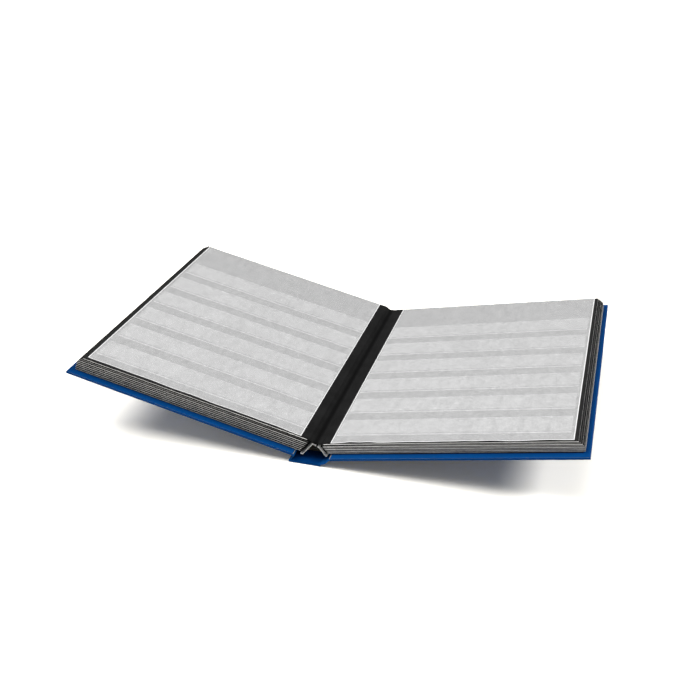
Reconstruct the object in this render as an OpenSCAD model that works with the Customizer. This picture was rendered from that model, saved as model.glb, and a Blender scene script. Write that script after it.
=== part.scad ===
// Small stock book for stamps, lying open on its spine.
// Origin: centre of the spine's underside. X runs across the open book, to the right.
// Y runs from the tail to the head of the pages, and Z is up. Millimetres.

/* [Case] */
// Height of the covers, tail to head
cover_h = 226; // [200:1:240]
// Width of one cover, joint to fore edge
cover_w = 169.2; // [150:0.1:180]
// Greyboard of the covers
board_t = 1.45; // [1.2:0.05:1.6]
// Covering material, wrapped round the boards
cloth_t = 0.25; // [0.2:0.05:0.3]
// How far the covering turns in over the inside of a board
turn_in_w = 15; // [10:1:20]
// Thickness of the covering where it is turned in
turn_in_t = 0.2; // [0.1:0.05:0.2]
// Black endpaper
endpaper_t = 0.1; // [0.05:0.05:0.1]
// Covering left to see round the endpaper
square_w = 4.5; // [3:0.5:8]

/* [Spine] */
// Width of the spine
spine_w = 22.4; // [22:0.1:26]
// Card inside the spine
spine_board_t = 1.0; // [0.8:0.1:1.2]
// Lining folded up between the two halves of the block
lining_t = 0.25; // [0.2:0.05:0.4]

/* [Leaves] */
// Width of a leaf with its guard
leaf_w = 169; // [150:1:172]
// Height of a leaf
leaf_h = 215.6; // [190:0.1:222]
// Black card
card_t = 0.35; // [0.3:0.05:0.35]
// Linen guard, from the spine edge over the card
guard_w = 9; // [6:0.5:12]
// Linen on each face of the card
guard_t = 0.1; // [0.05:0.05:0.1]

/* [Glassine] */
// Strips on each page
strips = 6; // [4:1:7]
// Height of a strip
strip_h = 20; // [16:0.5:24]
// Distance from one strip to the next
strip_pitch = 29.6; // [26:0.1:30]
// Foot of the page to the first strip
strip_foot = 10.35; // [5:0.05:15]
// Thickness of a strip
strip_t = 0.1; // [0.05:0.05:0.1]
// Width of the loose sheet over each page
interleaf_w = 158.9; // [140:0.1:160]
// Height of the loose sheet
interleaf_h = 215; // [190:0.5:220]
// Thickness of the loose sheet
interleaf_t = 0.08; // [0.05:0.01:0.1]

/* [Opening] */
// How steeply the left half rises from the spine
left_slope = 13.1; // [10:0.05:16]
// How steeply the right half rises from the spine
right_slope = 10.95; // [8:0.05:14]

/* [Hidden] */
half_count = 8;
leaf_count = 2 * half_count;

// Joint edge of each cover's outside, in X and Z
left_cover_at = [-8.3, 5.0];
right_cover_at = [17.4, 5.4];

// Spine edge of the lowest and the highest leaf on each side, in X and Z
left_low = [-3.1, 6.35];
left_high = [3.8, 15.4];
right_low = [13.3, 7.55];
right_high = [8.4, 13.6];
left_step = (left_high - left_low) / (half_count - 1);
right_step = (right_high - right_low) / (half_count - 1);

// The innermost guards stop short of the others, so that they pass each other in closing
inner_trim = 1.8;
next_trim = 0.8;

// How far each leaf reaches past leaf_w, from the lowest up: the block was trimmed while it was shut
left_reach = [0.7, 1.3, 1.8, 2.3, 2.9, 2.5, 1.4, 0];
right_reach = [0.7, 1.2, 1.8, 2.2, 2.2, 1.8, 1.3, 0.7];

// Layers of a cover, from the outside in
turn_in_z = cloth_t + board_t;
endpaper_z = turn_in_z + turn_in_t;

// Layers of the spine, from the table up
spine_top_z = cloth_t + spine_board_t;
spine_lip_z = spine_top_z + turn_in_t;

// Layers of a leaf, from its card
card_edge_x = 0.4;
strip_x = guard_w + 0.4;
strip_end_x = leaf_w - 4.5;
interleaf_x = 8.2;
interleaf_lift = 0.03;
interleaf_z = card_t + strip_t + interleaf_lift;
gap = 0.02;

// Back lining: a fold that stands between the two halves of the block
lining_path = [
    [-4.6, 4.7], [-3.2, 3.9], [4.1, 13.3], [9.2, 10.9], [12.2, 4.6], [13.6, 4.4]
];

black = "#1b1b1d";
linen = "#202023";
blue = "#004a8c";

function two_digits(k) = k < 10 ? str("0", k) : str(k);
function name_of(word, k) = str(word, "_", two_digits(k));
function is_left(k) = k <= half_count;
function leaf_at(k) = is_left(k)
    ? left_low + (k - 1) * left_step
    : right_low + (leaf_count - k) * right_step;
function trim_of(k) = k == half_count || k == half_count + 1
    ? inner_trim
    : (k == half_count + 2 ? next_trim : 0);

function reach_of(k) = is_left(k) ? left_reach[k - 1] : right_reach[leaf_count - k];

// A path in X and Z thickened to its left by t
function unit(v) = v / norm(v);
function left_of(v) = [-v[1], v[0]];
function before(path, i) = unit(path[max(i, 1)] - path[max(i, 1) - 1]);
function after(path, i) = i < len(path) - 1 ? unit(path[i + 1] - path[i]) : before(path, i);
function side_step(path, i) =
    let (way = unit(before(path, i) + after(path, i)))
    left_of(way) / (way * before(path, i));
function thick(path, t) = concat(
    path,
    [for (i = [len(path) - 1 : -1 : 0]) path[i] + t * side_step(path, i)]
);

// Lays a half of the book on its slope: local X runs out from the spine and Z away from the table
module on_left(at) {
    translate([at[0], 0, at[1]])
        mirror([1, 0, 0])
            rotate([0, -left_slope, 0])
                children();
}

module on_right(at) {
    translate([at[0], 0, at[1]])
        rotate([0, -right_slope, 0])
            children();
}

module at_leaf(k) {
    if (is_left(k))
        on_left(leaf_at(k)) children();
    else
        on_right(leaf_at(k)) children();
}

// A block from x0 to x1 and z0 to z1, centred on Y
module slab(x0, x1, height, z0, z1) {
    translate([x0, -height / 2, z0])
        cube([x1 - x0, height, z1 - z0]);
}

// A section in X and Z drawn out along Y
module drawn_out(outline, length) {
    rotate([90, 0, 0])
        translate([0, 0, -length / 2])
            linear_extrude(length)
                polygon(outline);
}

module board() {
    color("#8f887b")
        slab(0, cover_w - cloth_t, cover_h - 2 * cloth_t, cloth_t, turn_in_z);
}

// The covering under the board, round its three free edges and turned in over the inside
module covering() {
    inner_h = cover_h - 2 * cloth_t;
    color(blue)
        difference() {
            slab(0, cover_w, cover_h, 0, endpaper_z);
            slab(-1, cover_w - cloth_t, inner_h, cloth_t, turn_in_z);
            slab(-1, cover_w - turn_in_w, cover_h - 2 * turn_in_w, turn_in_z - gap, endpaper_z + 1);
        }
}

// Pasted over the turn-ins and down into the space between them
module endpaper() {
    color(black)
        union() {
            slab(0, cover_w - turn_in_w, cover_h - 2 * turn_in_w, turn_in_z, endpaper_z + endpaper_t);
            slab(0, cover_w - square_w, leaf_h, endpaper_z, endpaper_z + endpaper_t);
        }
}

module spine_board() {
    half = spine_w / 2 - cloth_t;
    color("#8f887b")
        slab(-half, half, cover_h - 2 * cloth_t, cloth_t, spine_top_z);
}

module spine_covering() {
    half = spine_w / 2;
    inner_h = cover_h - 2 * cloth_t;
    color(blue)
        difference() {
            slab(-half, half, cover_h, 0, spine_lip_z);
            slab(cloth_t - half, half - cloth_t, inner_h, cloth_t, spine_top_z);
            slab(cloth_t - half, half - cloth_t, cover_h - 2 * turn_in_w, spine_top_z - gap, spine_lip_z + 1);
        }
}

// The covering between the spine's edges and the covers' joint edges
module joint_cloth() {
    edge = spine_w / 2;
    foot_z = spine_lip_z + cloth_t;
    color(blue) {
        drawn_out(thick([[-edge, foot_z], left_cover_at], -cloth_t), cover_h);
        drawn_out(thick([[edge, foot_z], right_cover_at], cloth_t), cover_h);
    }
}

module spine_lining() {
    color("#b9b8b3")
        drawn_out(thick(lining_path, -lining_t), leaf_h);
}

module card(k) {
    color(black)
        at_leaf(k)
            slab(trim_of(k) + card_edge_x, leaf_w + reach_of(k), leaf_h, 0, card_t);
}

// Linen folded round the card's spine edge
module guard(k) {
    start = trim_of(k);
    color(linen)
        at_leaf(k)
            difference() {
                slab(start, guard_w, leaf_h, -guard_t, card_t + guard_t);
                slab(start + card_edge_x, guard_w + 1, leaf_h + 1, 0, card_t);
            }
}

// The strips of one page, with their lower face at z
module page_strips(z) {
    for (i = [0 : strips - 1])
        translate([strip_x, strip_foot + i * strip_pitch - interleaf_h / 2, z])
            cube([strip_end_x - strip_x, strip_h, strip_t]);
}

module loose_sheet(z) {
    slab(interleaf_x, interleaf_x + interleaf_w, interleaf_h, z, z + interleaf_t);
}

// Strips on both pages of a leaf, and a loose sheet over each page but the two that lie open
module glassine(k) {
    faces_up = k == half_count || k == half_count + 1;
    color("#d2d2d0", 0.85)
        at_leaf(k) {
            page_strips(card_t);
            page_strips(-strip_t);
            loose_sheet(-strip_t - interleaf_lift - interleaf_t);
            if (!faces_up)
                loose_sheet(interleaf_z);
        }
}

// The loose sheet over an open page, which lifts on its own
module open_interleaf(k) {
    color("#dcdcda", 0.85)
        at_leaf(k)
            loose_sheet(interleaf_z);
}

on_left(left_cover_at) board();  // front_board
on_right(right_cover_at) board();  // back_board
spine_board();
on_left(left_cover_at) covering();  // front_covering
on_right(right_cover_at) covering();  // back_covering
spine_covering();
joint_cloth();
on_left(left_cover_at) endpaper();  // front_endpaper
on_right(right_cover_at) endpaper();  // back_endpaper
spine_lining();
open_interleaf(half_count);  // interleaf_left
open_interleaf(half_count + 1);  // interleaf_right
for (k = [1 : leaf_count]) {
    card(k);
    guard(k);
    glassine(k);
}
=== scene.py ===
"""Looks of a small stamp stock book that lies open on its spine. Metres, in the CAD model's frame."""

import math

import bmesh
import bpy
import numpy as np
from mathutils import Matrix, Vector


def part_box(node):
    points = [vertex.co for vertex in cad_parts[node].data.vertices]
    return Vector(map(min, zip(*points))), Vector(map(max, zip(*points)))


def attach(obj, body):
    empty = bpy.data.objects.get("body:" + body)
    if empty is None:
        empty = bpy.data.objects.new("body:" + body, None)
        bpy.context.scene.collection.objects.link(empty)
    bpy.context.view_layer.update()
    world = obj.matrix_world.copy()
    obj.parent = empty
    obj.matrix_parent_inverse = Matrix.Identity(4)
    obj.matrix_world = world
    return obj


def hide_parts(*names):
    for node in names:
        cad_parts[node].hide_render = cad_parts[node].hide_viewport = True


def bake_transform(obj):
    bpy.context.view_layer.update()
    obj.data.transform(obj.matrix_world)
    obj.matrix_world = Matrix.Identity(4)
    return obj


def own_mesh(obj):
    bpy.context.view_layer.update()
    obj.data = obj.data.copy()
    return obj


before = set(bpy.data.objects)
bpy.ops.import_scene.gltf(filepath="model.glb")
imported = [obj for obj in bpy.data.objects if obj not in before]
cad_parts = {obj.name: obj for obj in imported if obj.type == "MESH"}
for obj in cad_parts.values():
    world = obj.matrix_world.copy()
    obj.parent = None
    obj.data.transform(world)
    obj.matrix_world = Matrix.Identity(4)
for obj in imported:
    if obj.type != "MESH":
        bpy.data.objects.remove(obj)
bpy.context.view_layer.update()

MM = 0.001
HALF = 8  # leaves on each side
LEAVES = range(1, 2 * HALF + 1)
OPEN_LEAVES = (HALF, HALF + 1)
RIPPLES = 90.0  # how quickly a long strip of cloth ripples along its length, in radians a metre
SHARP_DEG = 35  # edges sharper than this are rounded

# ---------------------------------------------------------------- the frame's own sizes


def section(node):
    """The (x, z) of every vertex of a CAD node."""
    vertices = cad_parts[node].data.vertices
    return np.array([(v.co.x, v.co.z) for v in vertices])


class Plate:
    """The slope that a board or leaf lies on: a runs out from its spine edge, c away from its underside."""

    def __init__(self, node):
        points = section(node)
        self.at = points[points[:, 1].argmin()]
        far = points[np.abs(points[:, 0] - self.at[0]).argmax()]
        self.width = float(np.linalg.norm(far - self.at))
        self.out = (far - self.at) / self.width
        self.up = np.array([-self.out[1], self.out[0]])
        if self.up[1] < 0:
            self.up = -self.up
        self.thick = float(((points - self.at) @ self.up).max())
        low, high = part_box(node)
        self.half_height = (high[1] - low[1]) / 2
        self.left = self.out[0] < 0

    def place(self, a, y, c):
        """World points of the local ones."""
        a, y, c = np.broadcast_arrays(a, y, c)
        flat = self.at + np.multiply.outer(a, self.out) + np.multiply.outer(c, self.up)
        return np.stack([flat[..., 0], y, flat[..., 1]], -1)


def leaf_name(k):
    return f"leaf_{k:02d}"


cards = {k: Plate(leaf_name(k)) for k in LEAVES}
covers = {"front": Plate("front_covering"), "back": Plate("back_covering")}
spine_high = np.array(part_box("spine_covering")[1])
CARD = cards[1].thick
LEAF_HALF = cards[1].half_height
CLOTH = float(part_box("spine_board")[0][2])

# ---------------------------------------------------------------- mesh tools


def build(name, vertices, faces, materials, face_materials, smooth):
    """A new mesh object. face_materials is each face's place in the list of materials."""
    mesh = bpy.data.meshes.new(name)
    mesh.from_pydata([tuple(v) for v in vertices], [], [tuple(f) for f in faces])
    for material in materials:
        mesh.materials.append(material)
    mesh.polygons.foreach_set("material_index", np.asarray(face_materials, np.int32))
    mesh.polygons.foreach_set("use_smooth", [smooth] * len(mesh.polygons))
    mesh.validate()
    mesh.update()
    made = bpy.data.objects.new(name, mesh)
    bpy.context.scene.collection.objects.link(made)
    return made


class Shell:
    """Gathers closed thin sheets into one mesh. A sheet has two faces and a rim."""

    def __init__(self):
        self.vertices = []
        self.faces = []
        self.kinds = []

    def grid(self, top, bottom, kind=0, rim=None):
        """One sheet between two grids of points. kind is the material of all its cells, or of each."""
        rows, columns = top.shape[:2]
        start = len(self.vertices)
        self.vertices += [*top.reshape(-1, 3), *bottom.reshape(-1, 3)]
        under = rows * columns
        kinds = np.broadcast_to(kind, (rows - 1, columns - 1))

        def at(i, j):
            return start + i * columns + j

        for i in range(rows - 1):
            for j in range(columns - 1):
                a, b, c, d = at(i, j), at(i, j + 1), at(i + 1, j + 1), at(i + 1, j)
                self.faces += [(a, b, c, d), (d + under, c + under, b + under, a + under)]
                self.kinds += [int(kinds[i, j])] * 2
        ring = [at(0, j) for j in range(columns)]
        ring += [at(i, columns - 1) for i in range(1, rows)]
        ring += [at(rows - 1, j) for j in range(columns - 2, -1, -1)]
        ring += [at(i, 0) for i in range(rows - 2, 0, -1)]
        edge_kind = int(kinds[0, 0]) if rim is None else rim
        for a, b in zip(ring, ring[1:] + ring[:1]):
            self.faces.append((b, a, a + under, b + under))
            self.kinds.append(edge_kind)

    def slab(self, plate, a, y, c):
        """A flat sheet on a plate, from a[0] to a[1], y[0] to y[1] and c[0] to c[1]."""
        across, along = np.meshgrid(np.array(a), np.array(y), indexing="ij")
        self.grid(plate.place(across, along, c[1]), plate.place(across, along, c[0]))

    def block(self, plate, corners, c):
        """A block on a plate, from c[0] to c[1], with four corners in a and y."""
        start = len(self.vertices)
        for level in c:
            self.vertices += [plate.place(a, y, level) for a, y in corners]
        self.faces += [tuple(start + i for i in (0, 1, 2, 3)), tuple(start + 4 + i for i in (3, 2, 1, 0))]
        self.faces += [tuple(start + i for i in (j, (j + 1) % 4, (j + 1) % 4 + 4, j + 4)) for j in range(4)]
        self.kinds += [0] * 6

    def object(self, name, materials, smooth=False):
        """The gathered sheets as one object."""
        made = build(name, self.vertices, self.faces, materials, self.kinds, smooth)
        recalc(made)
        return made


def recalc(made):
    """Turns every face of a closed mesh outward."""
    work = bmesh.new()
    work.from_mesh(made.data)
    bmesh.ops.recalc_face_normals(work, faces=work.faces)
    work.to_mesh(made.data)
    work.free()


def curve_through(points, steps):
    """A smooth path through the points, with a number of steps from each to the next."""
    p = np.array(points, float)
    p = np.vstack([2 * p[0] - p[1], p, 2 * p[-1] - p[-2]])
    path = []
    for a, b, c, d in zip(p, p[1:], p[2:], p[3:]):
        for t in np.arange(steps) / steps:
            square = (2 * a - 5 * b + 4 * c - d) * t**2
            cube = (3 * b - a - 3 * c + d) * t**3
            path.append(0.5 * (2 * b + (c - a) * t + square + cube))
    path.append(p[-2])
    return np.array(path)


def offset(path, distance):
    """The path moved sideways, to its left, by a distance."""
    way = np.gradient(path, axis=0)
    way /= np.linalg.norm(way, axis=1)[:, None]
    return path + distance * np.stack([-way[:, 1], way[:, 0]], 1)


def ribbon(name, path, half_height, thick, material, rows=24, ripple=0.0):
    """A strip with a section in X and Z, drawn out along Y. It may ripple between its two long edges."""
    shell = Shell()
    ys = np.linspace(-half_height, half_height, rows)
    wave = ripple * np.sin(ys * RIPPLES)[:, None]
    lift = wave * np.sin(np.linspace(0, np.pi, len(path)))[None, :]

    def drawn(section_path):
        grid = np.zeros((rows, len(path), 3))
        grid[..., 0] = section_path[None, :, 0]
        grid[..., 1] = ys[:, None]
        grid[..., 2] = section_path[None, :, 1] + lift
        return grid

    shell.grid(drawn(offset(path, thick)), drawn(path))
    return shell.object(name, [material], smooth=True)


def soften(made, width, segments=2):
    """Rounds the sharp edges of a piece."""
    bevel = made.modifiers.new("soft edges", "BEVEL")
    bevel.width = width
    bevel.segments = segments
    bevel.limit_method = "ANGLE"
    bevel.angle_limit = math.radians(SHARP_DEG)


def declare(made, body=None, stands_for=None):
    """Hides the CAD node that a piece stands for, and hangs the piece on the body that it rides on."""
    if stands_for is not None:
        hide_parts(stands_for)
    if body is not None:
        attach(made, body)


# ---------------------------------------------------------------- materials


def grey(value):
    return (value, value, value)


class Look:
    """A material in the making, with its nodes."""

    def __init__(self, name):
        self.material = bpy.data.materials.new(name)
        self.material.use_nodes = True
        self.nodes = self.material.node_tree.nodes
        self.shader = self.nodes["Principled BSDF"]

    def put(self, node, key, value):
        """Gives one input of a node a socket, a number, a vector or a colour."""
        target = node.inputs[key]
        if isinstance(value, bpy.types.NodeSocket):
            self.material.node_tree.links.new(value, target)
        else:
            target.default_value = (*value, 1) if target.type == "RGBA" else value

    def add(self, kind, inputs=(), **settings):
        """A new node with its inputs and its settings."""
        made = self.nodes.new(kind)
        for key, value in settings.items():
            setattr(made, key, value)
        for key, value in dict(inputs).items():
            self.put(made, key, value)
        return made

    def shade(self, inputs):
        """Sets inputs of the shader."""
        for key, value in inputs.items():
            self.put(self.shader, key, value)

    def texture(self, kind, scale, stretch=(1, 1, 1), **inputs):
        """A procedural texture in the piece's own coordinates."""
        place = self.add("ShaderNodeTexCoord")
        mapping = self.add("ShaderNodeMapping", {"Vector": place.outputs["Object"], "Scale": stretch})
        return self.add(kind, {"Vector": mapping.outputs["Vector"], "Scale": scale, **inputs})

    def noise(self, scale, stretch=(1, 1, 1), **inputs):
        return self.texture("ShaderNodeTexNoise", scale, stretch, **inputs).outputs["Fac"]

    def threads(self, scale, direction):
        """Straight bands across one direction."""
        made = self.texture("ShaderNodeTexWave", scale)
        made.bands_direction = direction
        return made.outputs["Fac"]

    def along_x(self):
        """Where a point is along X."""
        place = self.add("ShaderNodeTexCoord")
        split = self.add("ShaderNodeSeparateXYZ", {"Vector": place.outputs["Object"]})
        return split.outputs["X"]

    def maths(self, operation, *values):
        return self.add("ShaderNodeMath", dict(enumerate(values)), operation=operation).outputs["Value"]

    def spread(self, source, start, end, first, last, curve="LINEAR"):
        """Goes from first to last as the source goes from start to end."""
        limits = {"From Min": start, "From Max": end, "To Min": first, "To Max": last}
        made = self.add("ShaderNodeMapRange", {"Value": source, **limits}, interpolation_type=curve)
        return made.outputs["Result"]

    def ramp(self, source, *stops):
        """Goes between two colours. A stop is the source's value and the colour there."""
        made = self.add("ShaderNodeValToRGB", {"Fac": source})
        for stop, (position, colour) in zip(made.color_ramp.elements, stops):
            stop.position = position
            stop.color = (*colour, 1)
        return made.outputs["Color"]

    def mix(self, share, first, second, how="MIX"):
        """Mixes two colours."""
        inputs = {"Factor": share, "A": first, "B": second}
        return self.add("ShaderNodeMix", inputs, data_type="RGBA", blend_type=how).outputs["Result"]

    def relief(self, height, distance, strength, below=None):
        """Fine relief on the shader, over what is below."""
        bump = self.add("ShaderNodeBump", {"Height": height, "Distance": distance, "Strength": strength})
        if below is not None:
            self.put(bump, "Normal", below)
        self.put(self.shader, "Normal", bump.outputs["Normal"])
        return bump.outputs["Normal"]


def blue_covering():
    """Blue bookcloth paper: a fine leathery grain, a satin face, and edges lightened partly as slight wear
    and partly as a painted highlight.
    """
    look = Look("blue_covering")
    grain = look.texture("ShaderNodeTexVoronoi", 2600).outputs["Distance"]
    cloud = look.noise(45, Detail=6.0)
    fibre = look.noise(1800, Detail=4.0)
    colour = look.ramp(cloud, (0.3, (0.0, 0.019, 0.088)), (0.7, (0.0, 0.025, 0.112)))
    pores = look.ramp(grain, (0.0, grey(0.72)), (0.35, grey(1.0)))
    colour = look.mix(1.0, colour, pores, "MULTIPLY")
    # Sharp edges are lightened: partly slight wear, partly a painted highlight where light catches the
    # rounded edges.
    edges = look.add("ShaderNodeNewGeometry").outputs["Pointiness"]
    wear_and_edge_highlight = look.ramp(edges, (0.53, grey(0.0)), (0.62, grey(0.35)))
    colour = look.mix(wear_and_edge_highlight, colour, (0.01, 0.12, 0.36))
    look.shade({"Base Color": colour, "Roughness": look.spread(fibre, 0, 1, 0.42, 0.62)})
    look.shade({"Specular IOR Level": 0.04, "Specular Tint": (0.04, 0.4, 1.0)})
    pressed = look.relief(grain, 0.00012, 0.5)
    look.relief(fibre, 0.00006, 0.35, pressed)
    return look.material


def paper(name, dark, light, roughness):
    """Plain paper or board: cloudy fibres of two close tones."""
    look = Look(name)
    fibre = look.noise(900, (1, 0.35, 1), Detail=8.0)
    cloud = look.noise(60, Detail=4.0)
    colour = look.ramp(look.mix(0.5, fibre, cloud), (0.35, dark), (0.65, light))
    look.shade({"Base Color": colour, "Roughness": roughness, "Specular IOR Level": 0.1})
    look.relief(fibre, 0.00005, 0.5)
    return look.material


def black_card(plate, name, paleness):
    """Black card with a paler cut edge, told from its faces by the piece's own normals.

    The edge is black for about its first millimetre from the spine edge, painted shade for the dark gap at
    the linen's fold, pale beyond that, and greyer towards the fore edge.
    """
    look = Look(name)
    normal = look.add("ShaderNodeTexCoord").outputs["Normal"]
    upright = {0: normal, 1: (plate.up[0], 0, plate.up[1])}
    facing = look.add("ShaderNodeVectorMath", upright, operation="DOT_PRODUCT").outputs["Value"]
    fibre = look.noise(1500, (0.2, 0.2, 1), Detail=8.0)
    streak = look.noise(260, (1, 1, 6), Detail=5.0)
    face = look.ramp(fibre, (0.3, grey(0.007)), (0.7, grey(0.013)))
    cut = look.ramp(streak, (0.3, grey(0.66)), (0.7, grey(0.95)))
    x = look.along_x()
    # The second pair paints the edge black near the spine edge: painted shade for the dark gap at the
    # linen's fold.
    for near, far, first, last in ((12, 60, paleness, 0.27 + 0.45 * paleness), (0.9, 1.8, 0.0, 1.0)):
        start, end = (plate.at[0] + plate.out[0] * reach * MM for reach in (near, far))
        share = look.spread(x, start, end, first, last)
        cut = look.add("ShaderNodeVectorMath", {0: cut, "Scale": share}, operation="SCALE").outputs["Vector"]
    is_face = look.ramp(look.maths("ABSOLUTE", facing), (0.5, grey(0.0)), (0.8, grey(1.0)))
    look.shade({"Base Color": look.mix(is_face, cut, face), "Roughness": 0.9, "Specular IOR Level": 0.08})
    look.relief(fibre, 0.00004, 0.5)
    return look.material


def black_linen(name, valley=None):
    """Plain weave of fine black thread, with painted shade down in the valley if there is one at that x."""
    look = Look(name)
    fluff = look.noise(700, Detail=6.0)
    cloud = look.noise(90, Detail=5.0)
    weave = look.mix(1.0, look.threads(420, "X"), look.threads(420, "Y"), "MULTIPLY")
    weave = look.mix(0.4, weave, fluff)
    thread = look.ramp(weave, (0.1, grey(0.003)), (0.8, grey(0.012)))
    worn = look.ramp(cloud, (0.35, grey(0.8)), (0.7, grey(1.25)))
    colour = look.mix(1.0, thread, worn, "MULTIPLY")
    if valley is not None:
        # Painted shade: darker towards the valley line of the gutter.
        away = look.maths("ABSOLUTE", look.maths("SUBTRACT", look.along_x(), valley))
        valley_shade = look.spread(away, 0.2 * MM, 2.8 * MM, 0.15, 1.0, "SMOOTHSTEP")
        colour = look.mix(1.0, colour, valley_shade, "MULTIPLY")
    look.shade({"Base Color": colour, "Roughness": 0.9, "Specular IOR Level": 0.06})
    look.relief(weave, 0.00008, 0.6)
    return look.material


def glassine(name, tone, opacity, mottle=0.13, rough=0.5):
    """Milky, slightly glazed translucent paper, mottled where its fibres bunch.

    Opacity is of the whole thickness, through both faces of a sheet.
    """
    look = Look(name)
    cloud = look.noise(260, (1, 0.45, 1), Detail=8.0, Roughness=0.75)
    speck = look.noise(950, (1, 0.7, 1), Detail=4.0, Roughness=0.7)
    both = look.mix(0.6, cloud, speck)
    dark, light = tone * (1 - mottle), min(1.0, tone * (1 + mottle))
    colour = look.ramp(both, (0.40, grey(dark)), (0.60, grey(light)))
    look.shade({"Base Color": colour, "Roughness": rough, "Specular IOR Level": 0.15})
    look.shade({"Alpha": 1 - math.sqrt(1 - opacity)})
    look.relief(both, 0.00003, 0.4)
    return look.material


BLUE = blue_covering()
BOARD = paper("greyboard", (0.19, 0.17, 0.145), (0.31, 0.285, 0.245), 0.9)
ENDPAPER = paper("black_endpaper", grey(0.010), grey(0.018), 0.7)
LINING = paper("back_lining", grey(0.55), grey(0.72), 0.75)
LINEN = black_linen("black_linen")
# The gutter's linen carries painted shade down its valley.
GUTTER_LINEN = black_linen("gutter_linen", 6.0 * MM)
STRIP = glassine("glassine_strip", 0.64, 0.48, 0.16)
STRIP_SEAM = glassine("glassine_seam", 0.72, 0.66)
STRIP_BAND = glassine("glassine_glued_band", 0.50, 0.22)
SHEET = glassine("glassine_sheet", 0.565, 0.52, 0.17)
SHEET_RIM = glassine("glassine_sheet_rim", 0.78, 0.86, 0.02)

# ---------------------------------------------------------------- covers

SQUARE = 4.5 * MM  # covering left to see round the endpaper
TURN_IN = 15 * MM
TURN_IN_T = 0.2 * MM
MITRE = 0.08 * MM  # half the slit between two turn-ins
EDGE_ROUND = 0.45 * MM
FLAP_ROUND = 0.07 * MM
ENDPAPER_T = 0.09 * MM
ENDPAPER_UP = 0.1 * MM  # top of the endpaper over the turn-ins
ENDPAPER_SINK = 0.13 * MM  # how much lower it lies between them
STEP = 0.4 * MM  # half the width of the slope at the turn-ins' edge


def cover_covering(side):
    """The covering: a shell round the board with rounded edges, and three turn-ins that meet in mitres."""
    plate, cover = covers[side], f"{side}_cover"
    half, width = plate.half_height, plate.width
    inside = plate.thick - TURN_IN_T
    shell = Shell()
    shell.slab(plate, (-0.15 * MM, width), (-half, half), (0, inside))
    case = shell.object(f"{side}_covering_shell", [BLUE])
    soften(case, EDGE_ROUND, 4)
    declare(case, cover, f"{side}_covering")
    flap = Shell()
    near, far = 0.5 * MM, width - 0.25 * MM
    back = far - TURN_IN
    tip = half - 0.25 * MM
    root = tip - TURN_IN
    tail = [(near, -tip), (far - MITRE, -tip), (back - MITRE, -root), (near, -root)]
    head = [(near, tip), (far - MITRE, tip), (back - MITRE, root), (near, root)]
    fore = [(far, MITRE - tip), (far, tip - MITRE), (back, root - MITRE), (back, MITRE - root)]
    for corners in (tail, head, fore):
        flap.block(plate, corners, (inside - 0.01 * MM, plate.thick))
    turned = flap.object(f"{side}_turn_ins", [BLUE])
    soften(turned, FLAP_ROUND)
    declare(turned, cover)


def cover_endpaper(side):
    """Black endpaper pasted over the turn-ins, with the turn-ins' edges showing through as a faint step."""
    plate = covers[side]
    step = np.array([-STEP, STEP])
    edge_a, edge_y = plate.width - TURN_IN, plate.half_height - TURN_IN
    across = np.unique(np.r_[np.linspace(0.3 * MM, plate.width - SQUARE, 46), edge_a + step])
    along = np.unique(np.r_[np.linspace(-LEAF_HALF, LEAF_HALF, 50), step - edge_y, step + edge_y])
    a, y = np.meshgrid(across, along, indexing="ij")
    sunk = (a < edge_a) & (np.abs(y) < edge_y)
    level = plate.thick + ENDPAPER_UP - np.where(sunk, ENDPAPER_SINK, 0)
    shell = Shell()
    shell.grid(plate.place(a, y, level), plate.place(a, y, level - ENDPAPER_T))
    made = shell.object(f"{side}_endpaper_sheet", [ENDPAPER], smooth=True)
    declare(made, f"{side}_cover", f"{side}_endpaper")


for side in covers:
    cover_covering(side)
    cover_endpaper(side)

# ---------------------------------------------------------------- spine and joints

HALF_H = covers["front"].half_height
SPINE_HALF = spine_high[0]
SPINE_TOP = spine_high[2]
SPINE_ROUND = 0.8 * MM


def spine_wrap():
    """Covering under the spine card, rounded up at both long edges, and turned in at head and tail."""
    r = SPINE_ROUND
    corner = [(SPINE_HALF - r * (1 - math.cos(t)), r * (1 - math.sin(t))) for t in np.linspace(1.45, 0.2, 5)]
    right = [*corner, (SPINE_HALF, r), (SPINE_HALF, SPINE_TOP)]
    left = [(-x, z) for x, z in reversed(right)]
    under = [(x, 0) for x in np.linspace(r - SPINE_HALF, SPINE_HALF - r, 12)]
    wrap = ribbon("spine_wrap", np.array(left + under + right), HALF_H, CLOTH, BLUE)
    declare(wrap, "spine", "spine_covering")
    flap = Shell()
    card_top = float(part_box("spine_board")[1][2])
    across = np.linspace(0.2 * MM - SPINE_HALF, SPINE_HALF - 0.2 * MM, 10)
    for sign in (-1, 1):
        tip = sign * (HALF_H - 0.02 * MM)
        along = np.linspace(*sorted((tip, sign * (HALF_H - TURN_IN))), 6)
        xs, ys = np.meshgrid(across, along, indexing="ij")
        upper = np.stack([xs, ys, np.full_like(xs, SPINE_TOP)], -1)
        lower = np.stack([xs, ys, np.full_like(xs, card_top)], -1)
        flap.grid(upper, lower)
        xs, zs = np.meshgrid(across, (0.05 * MM, SPINE_TOP), indexing="ij")
        end = np.stack([xs, np.full_like(xs, tip), zs], -1)
        flap.grid(end, end - np.array([0, sign * CLOTH, 0]))
    turned = flap.object("spine_turn_ins", [BLUE])
    soften(turned, 0.06 * MM)
    declare(turned, "spine")


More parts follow.
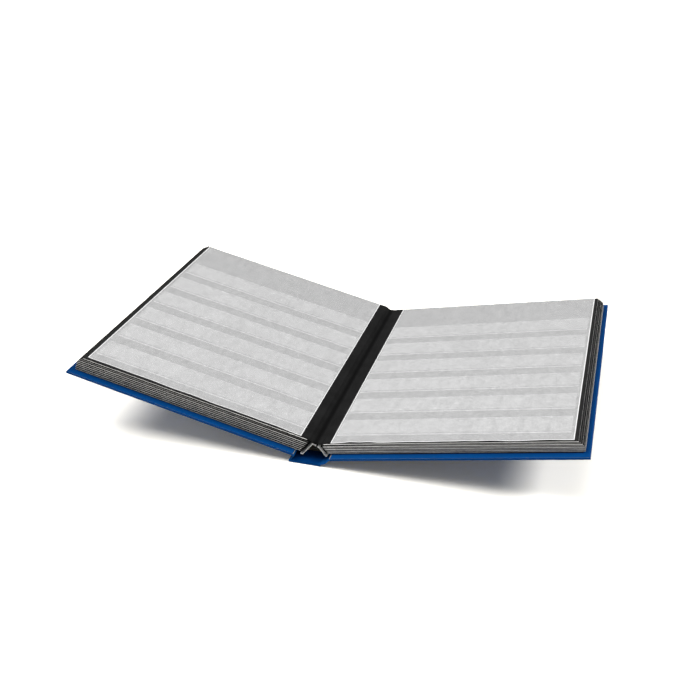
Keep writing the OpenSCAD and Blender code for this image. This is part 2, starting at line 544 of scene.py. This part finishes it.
def joint(side):
    """The cloth joint: out of the spine's edge, hollow in the middle, and in under the board."""
    plate = covers[side]
    sign = -1 if side == "front" else 1
    foot = np.array([sign * SPINE_HALF, SPINE_TOP * 0.55])
    end = plate.at + plate.out * 1.2 * MM - plate.up * 0.02 * MM
    join = plate.at - plate.out * 0.5 * MM + plate.up * 0.02 * MM
    hollow = (foot + join) / 2 + np.array([sign * 0.35 * MM, -0.35 * MM])
    upright = foot + np.array([0, 0.5 * MM])
    path = curve_through([foot, upright, hollow, join, end], 8)
    name = f"{side}_joint_cloth"
    cloth = ribbon(name, path, HALF_H - 0.05 * MM, sign * 0.3 * MM, BLUE, rows=30, ripple=0.03 * MM)
    declare(cloth, stands_for="joint_cloth")
    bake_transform(cloth)


spine_wrap()
for side in covers:
    joint(side)

# ---------------------------------------------------------------- glassine, guards and gutter

# Sizes across a page are from where the leaf's guard starts, and sizes along it from the sheet's foot.
PAGE_HALF = 107.5 * MM  # half the height of a loose sheet
STRIP_FOOT = 10.35 * MM
STRIP_PITCH = 29.6 * MM
STRIP_H = 20 * MM
STRIPS = 6
STRIP_A = (9.4 * MM, 164.5 * MM)  # from and to, across the page
STRIP_T = 0.1 * MM
STRIP_KINDS = (1, 2, 0, 0, 3)  # from the foot up, with each number a place in STRIP_LOOKS
STRIP_LOOKS = [STRIP, STRIP_SEAM, STRIP_BAND, STRIP_SEAM]
SEAM = 1.0 * MM  # glued foot of a strip
BAND = 2.6 * MM  # top of the faint band over it
LIP = 0.35 * MM  # bright free edge at the top
SHEET_A = (8.2 * MM, 167.1 * MM)
SHEET_T = 0.08 * MM
SHEET_GAP = 0.03 * MM
SHEET_EDGE = 0.55 * MM  # bright rim of an open sheet
GUARD_W = 9 * MM
GUARD_T = 0.1 * MM
CARD_INSET = 0.4 * MM  # from the fold of a guard to the card in it
GUTTER_T = 0.16 * MM
SHEET_INSET = 4 * MM  # how much shorter a buried sheet is at each end, to stay hidden
HIDE_FROM = 20 * MM  # it is that short up to here
HIDE_OVER = 35 * MM  # and nearly full length this much further out, but for the leaves in AJAR
LOOSE_END = 14 * MM  # a buried sheet ripples over this length at its head and tail
FOOT_REACH, HEAD_REACH = 9 * MM, 10 * MM  # how far the bulges of an open sheet run in
HELD = 7 * MM  # an open sheet lies close beside its spine edge
CLEAR = 0.01 * MM  # least space under a buried sheet, on top of SHEET_GAP

# How pale each leaf's cut edge is near the spine, from leaf 1 up
# Leaves 7 and 10, under the two open leaves, are all but black: painted shade of the gap beneath the open
# leaves.
EDGE_PALENESS = (0.6, 0.7, 0.5, 0.7, 0.5, 0.75, 0.08, 1.0, 1.0, 0.08, 1.0, 0.3, 0.95, 0.3, 0.85, 0.5)
# The leaves that stand a little apart, whose buried sheets are short all the way out
AJAR = (HALF - 1, HALF, HALF + 1, HALF + 2, HALF + 3)
# The leaves whose strips show in some pose
SEEN = (HALF - 1, HALF, HALF + 1, HALF + 2)
# Bulges of each open sheet: how far from its spine edge, how wide and how high, in millimetres
BULGES = {
    "left": [(15, 9, 0.3), (36, 6, 0.3), (74, 12, 0.35), (126, 8, 0.3)],
    "right": [(14, 5, 0.45), (27, 5, 0.55), (58, 9, 0.35), (90, 6, 0.4), (108, 9, 0.35), (146, 7, 0.4)],
}
# How far up the foot of each open sheet lies, at its spine edge and at its fore edge, in millimetres
SKEW = {"left": (1.0, 2.6), "right": (0.6, 1.0)}


def trim(k):
    """How far a leaf's own spine edge stands back from where its guard would start."""
    return {HALF: 1.8, HALF + 1: 1.8, HALF + 2: 0.8}.get(k, 0.0) * MM


def base_a(k):
    """Where the card's spine edge is, from the guard's start."""
    return trim(k) + CARD_INSET


def waves(a, y, seed, size):
    """A smooth, seeded ripple."""
    rng = np.random.default_rng(seed)
    total = np.zeros(np.broadcast(a, y).shape)
    for _ in range(5):
        along, across, phase = rng.uniform(20, 75), rng.uniform(8, 40), rng.uniform(0, 6.28)
        total += np.sin(a * along + y * across + phase)
    return size * total / 5


def pocket_strips(shell, k, face, fine):
    """The six strips on one page. Each has a glued foot, a faint band over it and a free upper lip."""
    plate, shift = cards[k], base_a(k)
    columns = 60 if fine else 2
    a = np.linspace(*STRIP_A, columns) - shift
    for i in range(STRIPS):
        foot = STRIP_FOOT + i * STRIP_PITCH - PAGE_HALF
        y = foot + np.array([0, SEAM, BAND, STRIP_H / 2, STRIP_H - LIP, STRIP_H])
        aa, yy = np.meshgrid(a, y, indexing="ij")
        free = np.clip((yy - foot) / STRIP_H, 0, 1) ** 2
        lift = np.zeros_like(yy)
        if fine:
            lift = (0.012 * MM + waves(aa, yy, 31 * k + i, 0.01 * MM)) * free
        low, high = (CARD, CARD + STRIP_T) if face > 0 else (-STRIP_T, 0.0)
        kinds = np.broadcast_to(STRIP_KINDS, (columns - 1, len(STRIP_KINDS)))
        shell.grid(plate.place(aa, yy, high + face * lift), plate.place(aa, yy, low), kinds)


def pockets(k):
    """Strips on both pages of a leaf, and the loose sheets that don't lift on their own."""
    plate, shift = cards[k], base_a(k)
    shell = Shell()
    pocket_strips(shell, k, 1, k in SEEN)
    pocket_strips(shell, k, -1, k in SEEN)
    made = shell.object(f"pocket_strips_{k:02d}", STRIP_LOOKS)
    declare(made, leaf_name(k), f"glassine_{k:02d}")
    sheets = Shell()
    rest = CARD + STRIP_T + SHEET_GAP
    for face in (1, -1):
        if face > 0 and k in OPEN_LEAVES:
            continue
        a = np.linspace(*SHEET_A, 40) - shift
        aa, yy = np.meshgrid(a, np.linspace(-1, 1, 44), indexing="ij")
        by_spine = np.clip(1 - (aa - HIDE_FROM) / HIDE_OVER, 0, 1)
        yy = yy * (PAGE_HALF - SHEET_INSET * (1.0 if k in AJAR else 0.1 + 0.9 * by_spine))
        buried = np.clip((PAGE_HALF - np.abs(yy)) / LOOSE_END, 0, 1)
        ripple = np.abs(waves(aa, yy, 7 * k + face, 0.08 * MM)) * (1 - buried) + CLEAR
        base = rest if face > 0 else -STRIP_T - SHEET_GAP
        low = base + face * ripple
        sheets.grid(plate.place(aa, yy, low + face * SHEET_T), plate.place(aa, yy, low), 0, 1)
    made = sheets.object(f"loose_sheets_{k:02d}", [SHEET, STRIP_BAND], smooth=True)
    declare(made, leaf_name(k), f"glassine_{k:02d}")


def open_sheet(k, side):
    """The loose sheet over an open page: it lies on the strips and lifts in soft bulges along its foot."""
    plate, shift = cards[k], base_a(k)
    inner, outer = SHEET_A
    a = np.r_[inner, inner + SHEET_EDGE, np.linspace(inner + 2 * MM, outer - 2 * MM, 110)]
    a = np.r_[a, outer - SHEET_EDGE, outer]
    y = np.r_[-PAGE_HALF, np.linspace(-PAGE_HALF + 0.5 * MM, -PAGE_HALF + 24 * MM, 26)]
    y = np.r_[y, np.linspace(-PAGE_HALF + 27 * MM, PAGE_HALF - 1 * MM, 80), PAGE_HALF]
    aa, yy = np.meshgrid(a, y, indexing="ij")
    near = 1 - np.clip((yy + PAGE_HALF) / (2 * PAGE_HALF), 0, 1)
    spine_skew, fore_skew = SKEW[side]
    wobble = 0.22 * np.sin(aa * 210 + k) + 0.16 * np.sin(aa * 95 + 2 * k)
    yy = yy + near**6 * MM * (spine_skew + (fore_skew - spine_skew) * aa / outer + wobble)
    foot = np.exp(-((yy + PAGE_HALF) / FOOT_REACH) ** 1.3)
    head = np.exp(-((PAGE_HALF - yy) / HEAD_REACH) ** 1.3)
    swell = np.zeros_like(aa)
    for centre, width, height in BULGES[side]:
        swell += height * MM * np.exp(-(((aa - inner) / MM - centre) / width) ** 2)
    height = swell * foot + 0.3 * swell[:, ::-1] * head
    height += (0.06 * MM + np.abs(waves(aa, yy, 900 + k, 0.10 * MM))) * (0.35 + foot)
    held = np.clip((aa - inner) / HELD, 0, 1)
    height = height * (0.12 + 0.88 * held)
    low = CARD + STRIP_T + SHEET_GAP + height
    kinds = np.zeros((len(a) - 1, len(y) - 1), int)
    kinds[0, :] = kinds[-1, :] = kinds[:, 0] = 1
    shell = Shell()
    shell.grid(plate.place(aa - shift, yy, low + SHEET_T), plate.place(aa - shift, yy, low), kinds, 1)
    made = shell.object(f"open_sheet_{side}", [SHEET, SHEET_RIM], smooth=True)
    declare(made, f"interleaf_{side}", f"interleaf_{side}")


def linen_guard(k):
    """Linen folded round the card's spine edge, with a soft round fold."""
    plate, shift = cards[k], base_a(k)
    fold = trim(k) - shift + GUARD_T
    r = CARD / 2
    turn = np.linspace(-math.pi / 2, math.pi / 2, 7)
    path = [(GUARD_W - shift, 0.0), (fold + r, 0.0)]
    path += [(fold + r * (1 - math.cos(w)), r * (1 + math.sin(w))) for w in turn]
    path += [(fold + r, CARD), (GUARD_W - shift, CARD)]
    path = np.array(path)
    world = plate.place(path[:, 0], 0, path[:, 1])[:, [0, 2]]
    thick = -GUARD_T if plate.left else GUARD_T
    made = ribbon(f"linen_guard_{k:02d}", world, plate.half_height, thick, LINEN, rows=20)
    declare(made, leaf_name(k), f"guard_{k:02d}")


# The bottom of the gutter, in X and Z
VALLEY = np.array([(4.6, 14.05), (5.1, 13.8), (5.9, 13.65), (6.6, 13.8), (7.1, 14.05)]) * MM


def gutter_flap(side):
    """Half of the linen that dips into the gutter, from the bottom up over the guard of one open leaf."""
    k = HALF if side == "left" else HALF + 1
    plate, shift = cards[k], base_a(k)
    valley = VALLEY[0 if side == "left" else -1]
    lie = CARD + 0.14 * MM
    tail = plate.place(np.array([3.6, 5.4, 8.3]) * MM - shift, 0, lie)[:, [0, 2]]
    near = plate.place(np.array([trim(k) + 0.3 * MM - shift]), 0, CARD + 0.02 * MM)[0, [0, 2]]
    sag = valley + (near - valley) * 0.45 - np.array([0, 0.25 * MM])
    path = curve_through([valley, sag, near, *tail], 7)
    thick = GUTTER_T if side == "left" else -GUTTER_T
    name = f"gutter_cloth_{side}"
    flap = ribbon(name, path, plate.half_height, thick, GUTTER_LINEN, rows=60, ripple=0.05 * MM)
    declare(flap)
    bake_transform(flap)


def slack(name, path, thick, material):
    """A narrow strip between the halves of the block."""
    strip = ribbon(name, curve_through(path, 5), LEAF_HALF, thick, material, rows=60)
    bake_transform(strip)
    return strip


for k in LEAVES:
    pockets(k)
    linen_guard(k)
    card = black_card(cards[k], f"black_card_{k:02d}", EDGE_PALENESS[k - 1])
    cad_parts[leaf_name(k)].data.materials[0] = card
for k, side in zip(OPEN_LEAVES, ("left", "right")):
    open_sheet(k, side)
    gutter_flap(side)
declare(slack("gutter_valley", VALLEY, GUTTER_T, GUTTER_LINEN))

# ---------------------------------------------------------------- back lining

LINING_T = 0.2 * MM
BACKING_T = 0.12 * MM
SPLIT = 0.007  # half the gap between two leaves' pieces, as a share of one slope
PEAK = np.array([4.1, 13.3]) * MM
KNEE = np.array([9.2, 10.9]) * MM
LEFT_FOOT = np.array([(-4.6, 4.9), (-3.9, 4.2), (-3.0, 4.3)]) * MM
RIGHT_FOOT = np.array([(14.3, 5.9), (13.5, 5.1), (12.8, 5.9)]) * MM
RIDGE = np.array([(4.5, 13.3), (5.8, 12.8), (7.5, 11.95)]) * MM
RIDGE_CUTS = (4.45 * MM, 6.7 * MM, 7.5 * MM)  # where the ridge starts and ends, and where the knee starts


def lining_piece(name, path, side, k):
    """A piece of the lining that goes with leaf k."""
    thick = -LINING_T if side == "left" else LINING_T
    made = ribbon(name, path, LEAF_HALF, thick, LINING, rows=12)
    declare(made, leaf_name(k), "spine_lining")


def lining_slope(side, foot, top, leaves):
    """One slope of the tent, cut into a piece for each of the leaves. The lowest one has the foot on it."""
    marks = np.linspace(0, 1, len(leaves) + 1)
    rise = top - foot[-1]
    for i, k in enumerate(leaves):
        low = foot[-1] + rise * (marks[i] + SPLIT)
        high = foot[-1] + rise * (marks[i + 1] - SPLIT)
        path = curve_through([*foot, high], 5) if i == 0 else np.array([low, (low + high) / 2, high])
        lining_piece(f"back_lining_{side}_{i + 1}", path, side, k)


def lining_ridge():
    """The top of the tent: a peak on the left half, a knee on the right, and a strip between them."""
    ridge = curve_through([PEAK, *RIDGE, KNEE], 6)
    first, last, knee = (int(np.abs(ridge[:, 0] - x).argmin()) for x in RIDGE_CUTS)
    lining_piece("back_lining_peak", ridge[: first + 1], "left", HALF - 1)
    strip = slack("back_lining_ridge", ridge[first : last + 1], -LINING_T, LINING)
    declare(strip, stands_for="spine_lining")
    lining_piece("back_lining_knee", ridge[knee:], "left", HALF + 2)


def gutter_backing():
    """Black linen inside the tent. It closes the gutter when the album lies flat."""
    tent = [(0.2, 7.5), (3.9, 12.2), (4.6, 12.5), (5.8, 12.1), (7.5, 11.3), (9.0, 10.25), (10.6, 8.1)]
    path = curve_through(np.array(tent) * MM, 4)
    backing = ribbon("gutter_backing", path, LEAF_HALF, -BACKING_T, LINEN, rows=40)
    declare(backing, "spine")
    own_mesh(backing)


# The light lining of the block's back, folded into a tent. On the right, leaf 11 has the two highest pieces.
lining_slope("left", LEFT_FOOT, PEAK, range(1, HALF))
lining_slope("right", RIGHT_FOOT, KNEE, [*range(2 * HALF, HALF + 2, -1), HALF + 3])
lining_ridge()
gutter_backing()

# ---------------------------------------------------------------- boards kept from the frame

for node in ("front_board", "back_board", "spine_board"):
    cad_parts[node].data.materials[0] = BOARD

# ---------------------------------------------------------------- stage, light and camera

FLOOR_SIZE = 12
FLOOR_Z = -0.2 * MM
CAMERA_AT = (176.3, -621.7, 371.1)  # millimetres
CAMERA_AZIMUTH, CAMERA_ELEVATION = 15.87, 27.9
LENS, SENSOR = 49.77, 36


def stage():
    """A pale, endless floor that the light all but bleaches, and a soft white surround."""
    bpy.ops.mesh.primitive_plane_add(size=FLOOR_SIZE, location=(0, 0, FLOOR_Z))
    floor = bpy.context.object
    floor.name = "floor"
    look = Look("pale_floor")
    look.shade({"Base Color": (1.0, 0.975, 0.91), "Roughness": 0.9, "Specular IOR Level": 0.0})
    look.shade({"Emission Color": (1.0, 0.92, 0.70), "Emission Strength": 0.06})
    floor.data.materials.append(look.material)
    world = bpy.data.worlds.new("soft studio")
    world.use_nodes = True
    surround = world.node_tree.nodes["Background"]
    surround.inputs["Color"].default_value = (1, 1, 1, 1)
    surround.inputs["Strength"].default_value = 0.28
    bpy.context.scene.world = world
    bpy.context.scene.view_settings.view_transform = "Standard"


def aimed(name, data, at, way):
    """A light or camera in the scene, at a place and looking along a direction."""
    made = bpy.data.objects.new(name, data)
    made.location = at
    made.rotation_euler = Vector(way).to_track_quat("-Z", "Y").to_euler()
    bpy.context.scene.collection.objects.link(made)
    return made


def wide_light(name, way, angle, strength):
    """A far, broad light, even over the whole floor."""
    lamp = bpy.data.lights.new(name, "SUN")
    lamp.angle = math.radians(angle)
    lamp.energy = strength
    aimed(name, lamp, (0, 0, 0), way)


def front_light():
    """A softbox close over the foot of the pages, so that they darken a little towards the head."""
    lamp = bpy.data.lights.new("front softbox", "AREA")
    lamp.size = 0.35
    lamp.energy = 1.8
    at = Vector((0.15, -0.3, 0.75))
    aimed("front softbox", lamp, at, -at)


def camera():
    """A long normal lens, a little right of the spine's line and looking down on the open pages."""
    azimuth, elevation = math.radians(CAMERA_AZIMUTH), math.radians(CAMERA_ELEVATION)
    level = math.cos(elevation)
    way = (-math.sin(azimuth) * level, math.cos(azimuth) * level, -math.sin(elevation))
    lens = bpy.data.cameras.new("camera")
    lens.sensor_width = SENSOR
    lens.lens = LENS
    bpy.context.scene.camera = aimed("camera", lens, Vector(CAMERA_AT) * MM, way)


stage()
wide_light("right softbox", (-1.05, -0.25, -1.0), 22, 3.2)
wide_light("left softbox", (0.8, 0.05, -1.0), 32, 3.6)
wide_light("low left fill", (1, 0.0, -0.27), 26, 0.5)
front_light()
camera()
